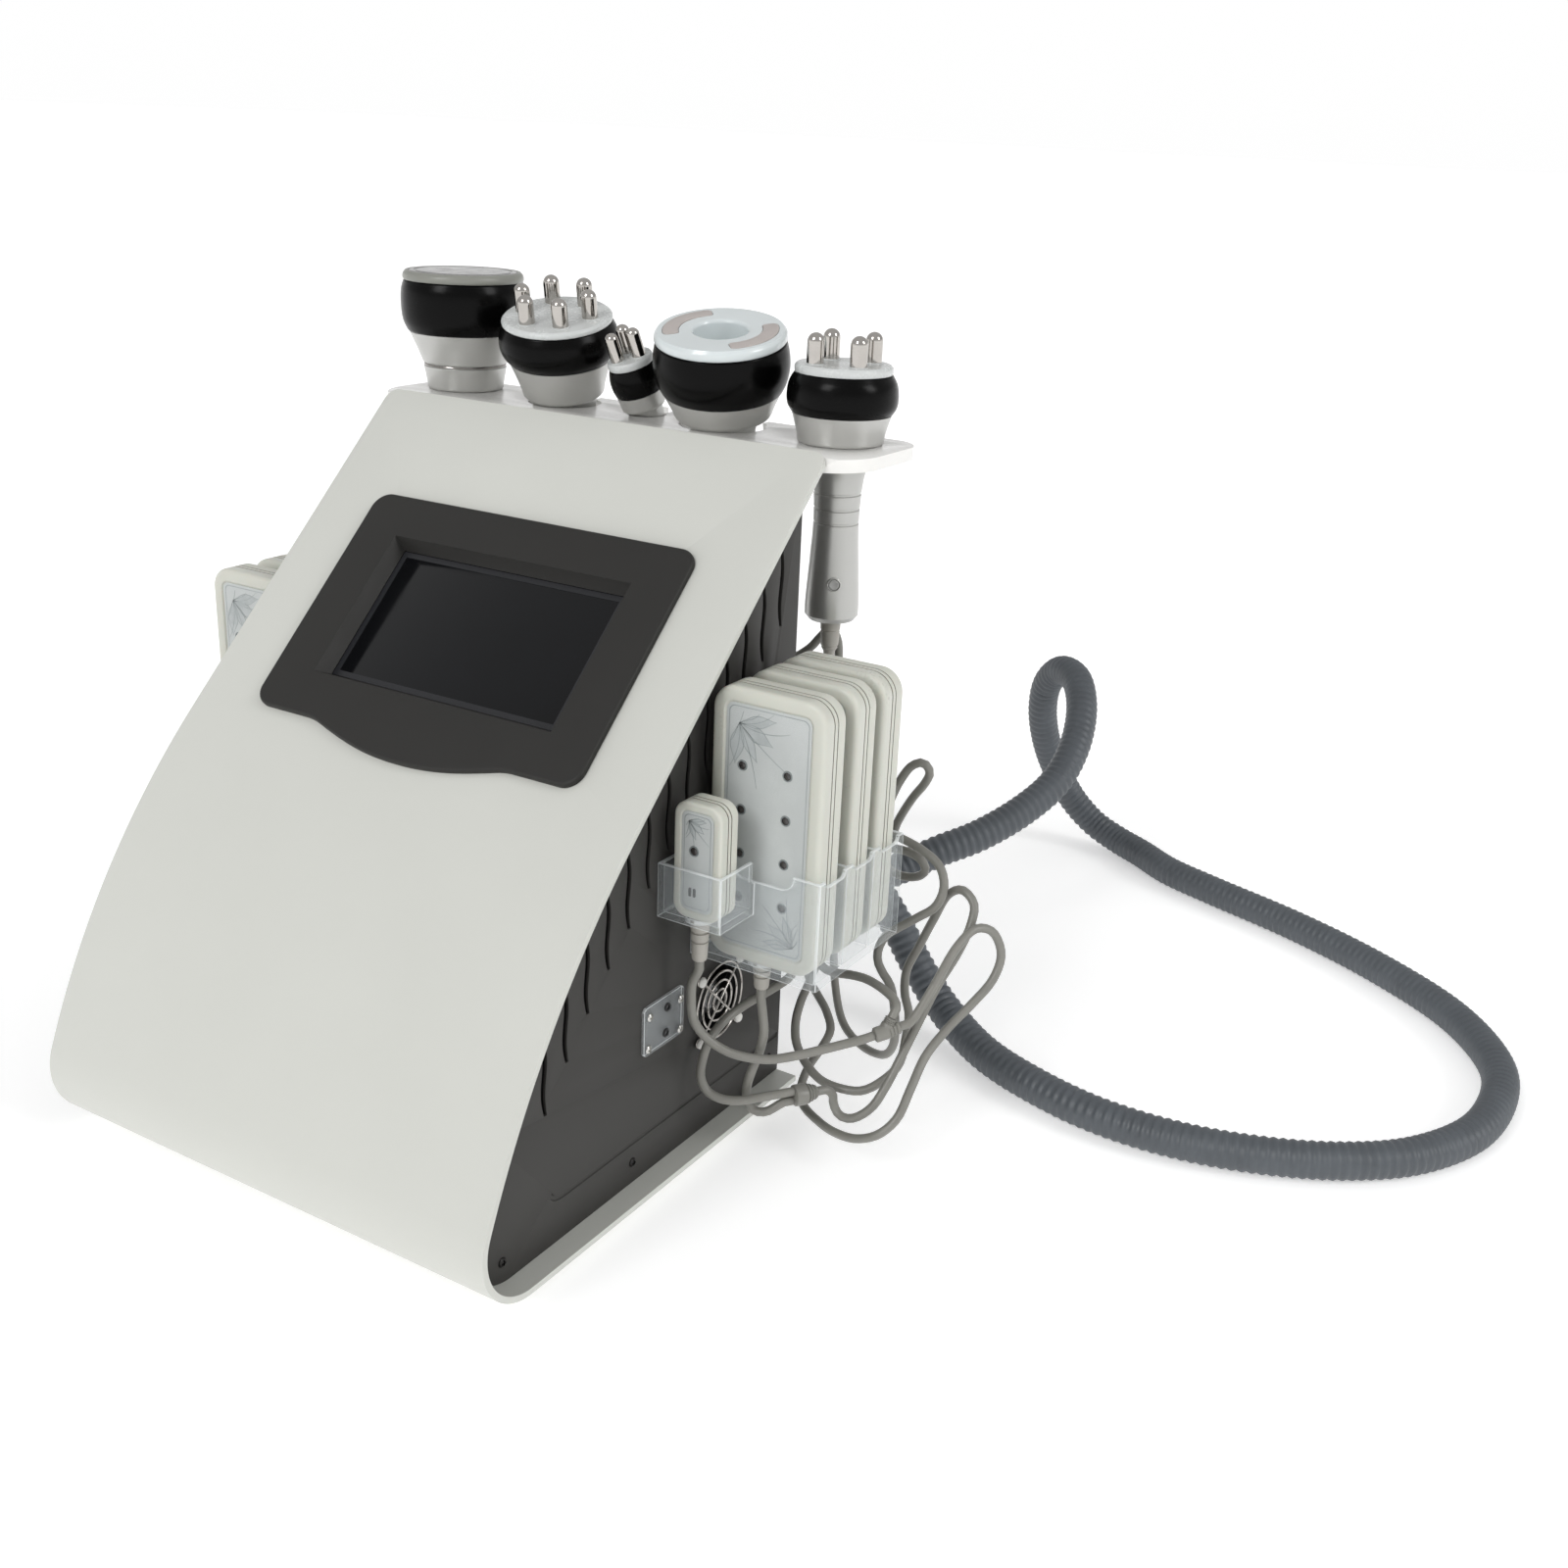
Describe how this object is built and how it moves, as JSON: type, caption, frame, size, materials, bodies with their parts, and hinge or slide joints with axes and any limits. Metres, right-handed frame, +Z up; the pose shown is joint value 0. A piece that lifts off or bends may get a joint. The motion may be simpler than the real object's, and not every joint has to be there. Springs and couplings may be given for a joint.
{
  "type": "cavitation slimming machine",
  "caption": "Desktop body-slimming machine: white bent shell, dark vented sides, recessed touch screen, handpieces in a top tray, paddle pads in clear side holders, leads and a ribbed hose.",
  "frame": {"origin": "on the table, under the middle of the machine's box without its leads and hose", "axes": "+Z up, -Y toward the user who faces the screen, +X to that user's right"},
  "size_m": [0.8363, 0.8563, 0.5067],
  "materials": {
    "white_shell": "satin powder coat, warm white",
    "dark_panel": "fine matte dark grey-brown paint",
    "white_tray": "smooth white",
    "bezel": "satin dark grey-brown",
    "screen_glass": "dark display glass, switched off",
    "pad_white": "semi-gloss cream white",
    "clear_acrylic": "clear, polished",
    "silver_handle": "silver metallic lacquer",
    "black_band": "high gloss black",
    "head_white": "glossy white",
    "chrome": "polished",
    "steel": "polished steel",
    "black_plastic": "matte black",
    "grey_lead": "smooth satin grey jacket",
    "hose_grey": "satin dark grey, ribbed",
    "foot_rubber": "matte black",
    "button_grey": "satin grey",
    "aluminium": "satin"
  },
  "bodies": {
    "machine": {"front_shell": "white_shell", "right_side_panel": "dark_panel", "left_side_panel": "dark_panel", "rear_panel": "dark_panel", "handpiece_tray": "white_tray", "screen_bezel": "bezel", "touch_screen": "screen_glass", "power_supply": "aluminium", "vacuum_pump": "steel", "fan_housing": "black_plastic", "fan_guard": "chrome", "foot_strip_front": "foot_rubber", "foot_strip_rear": "foot_rubber", "right_pad_holder": "clear_acrylic", "left_pad_holder": "clear_acrylic", "power_inlet": "black_plastic", "connector_plate": "aluminium", "pad_lead_1": "grey_lead", "pad_lead_2": "grey_lead", "pad_lead_3": "grey_lead", "small_pad_lead": "grey_lead", "trunk_lead_a": "grey_lead", "trunk_lead_b": "grey_lead", "handpiece_lead": "grey_lead", "splitter_a": "grey_lead", "splitter_b": "grey_lead", "vacuum_hose": "hose_grey"},
    "cavitation_handpiece": {"cavitation_handle": "silver_handle", "cavitation_band": "black_band", "cavitation_ring": "head_white", "cavitation_face": "steel"},
    "six_pole_handpiece": {"six_pole_handle": "silver_handle", "six_pole_band": "black_band", "six_pole_disc": "head_white", "six_pole_electrodes": "chrome"},
    "three_pole_handpiece": {"three_pole_handle": "silver_handle", "three_pole_band": "black_band", "three_pole_disc": "head_white", "three_pole_electrodes": "chrome"},
    "vacuum_handpiece": {"vacuum_handle": "silver_handle", "vacuum_band": "black_band", "vacuum_cup": "head_white", "vacuum_electrode_left": "steel", "vacuum_electrode_right": "steel"},
    "four_pole_handpiece": {"four_pole_handle": "silver_handle", "four_pole_band": "black_band", "four_pole_disc": "head_white", "four_pole_electrodes": "chrome", "four_pole_boot": "grey_lead"},
    "trigger_button": {"four_pole_button": "button_grey"},
    "fan_blades": {"fan_rotor": "black_plastic"},
    "rocker_key": {"power_rocker": "black_plastic"},
    "right_pad_1_body": {"right_pad_1": "pad_white"},
    "right_pad_2_body": {"right_pad_2": "pad_white"},
    "right_pad_3_body": {"right_pad_3": "pad_white"},
    "right_small_pad_body": {"right_small_pad": "pad_white"},
    "left_pad_1_body": {"left_pad_1": "pad_white"},
    "left_pad_2_body": {"left_pad_2": "pad_white"},
    "left_pad_3_body": {"left_pad_3": "pad_white"},
    "left_small_pad_body": {"left_small_pad": "pad_white"}
  },
  "joints": [
    {"name": "cavitation_lift", "type": "slide", "parent": "machine", "child": "cavitation_handpiece", "axis": [0, 0, 1], "range_m": [0, 0.12]},
    {"name": "six_pole_lift", "type": "slide", "parent": "machine", "child": "six_pole_handpiece", "axis": [0.0763, -0.2328, 0.9695], "range_m": [0, 0.16]},
    {"name": "three_pole_lift", "type": "slide", "parent": "machine", "child": "three_pole_handpiece", "axis": [-0.1277, -0.3392, 0.932], "range_m": [0, 0.09]},
    {"name": "vacuum_lift", "type": "slide", "parent": "machine", "child": "vacuum_handpiece", "axis": [0.0766, -0.2141, 0.9738], "range_m": [0, 0.12]},
    {"name": "four_pole_lift", "type": "slide", "parent": "machine", "child": "four_pole_handpiece", "axis": [0, 0, 1], "range_m": [0, 0.145]},
    {"name": "right_pad_1_lift", "type": "slide", "parent": "machine", "child": "right_pad_1_body", "axis": [0, 0, 1], "range_m": [0, 0.008]},
    {"name": "right_pad_2_lift", "type": "slide", "parent": "machine", "child": "right_pad_2_body", "axis": [0, 0, 1], "range_m": [0, 0.04]},
    {"name": "right_pad_3_lift", "type": "slide", "parent": "machine", "child": "right_pad_3_body", "axis": [0, 0, 1], "range_m": [0, 0.07]},
    {"name": "right_small_pad_lift", "type": "slide", "parent": "machine", "child": "right_small_pad_body", "axis": [0, 0, 1], "range_m": [0, 0.03]},
    {"name": "left_pad_1_lift", "type": "slide", "parent": "machine", "child": "left_pad_1_body", "axis": [0, 0, 1], "range_m": [0, 0.008]},
    {"name": "left_pad_2_lift", "type": "slide", "parent": "machine", "child": "left_pad_2_body", "axis": [0, 0, 1], "range_m": [0, 0.04]},
    {"name": "left_pad_3_lift", "type": "slide", "parent": "machine", "child": "left_pad_3_body", "axis": [0, 0, 1], "range_m": [0, 0.07]},
    {"name": "left_small_pad_lift", "type": "slide", "parent": "machine", "child": "left_small_pad_body", "axis": [0, 0, 1], "range_m": [0, 0.03]},
    {"name": "fan_spin", "type": "hinge", "parent": "machine", "child": "fan_blades", "pos_m": [0.1575, 0.03102, 0.0965], "axis": [1, 0, 0], "continuous": true},
    {"name": "trigger_press", "type": "slide", "parent": "four_pole_handpiece", "child": "trigger_button", "axis": [-0.5299, 0.848, 0], "range_m": [0, 0.0006], "stiffness_N_per_m": 400, "springref_m": -0.0005},
    {"name": "rocker_tilt", "type": "hinge", "parent": "machine", "child": "rocker_key", "pos_m": [-0.105, 0.10782, 0.086], "axis": [1, 0, 0], "range_deg": [-16, 0]}
  ]
}
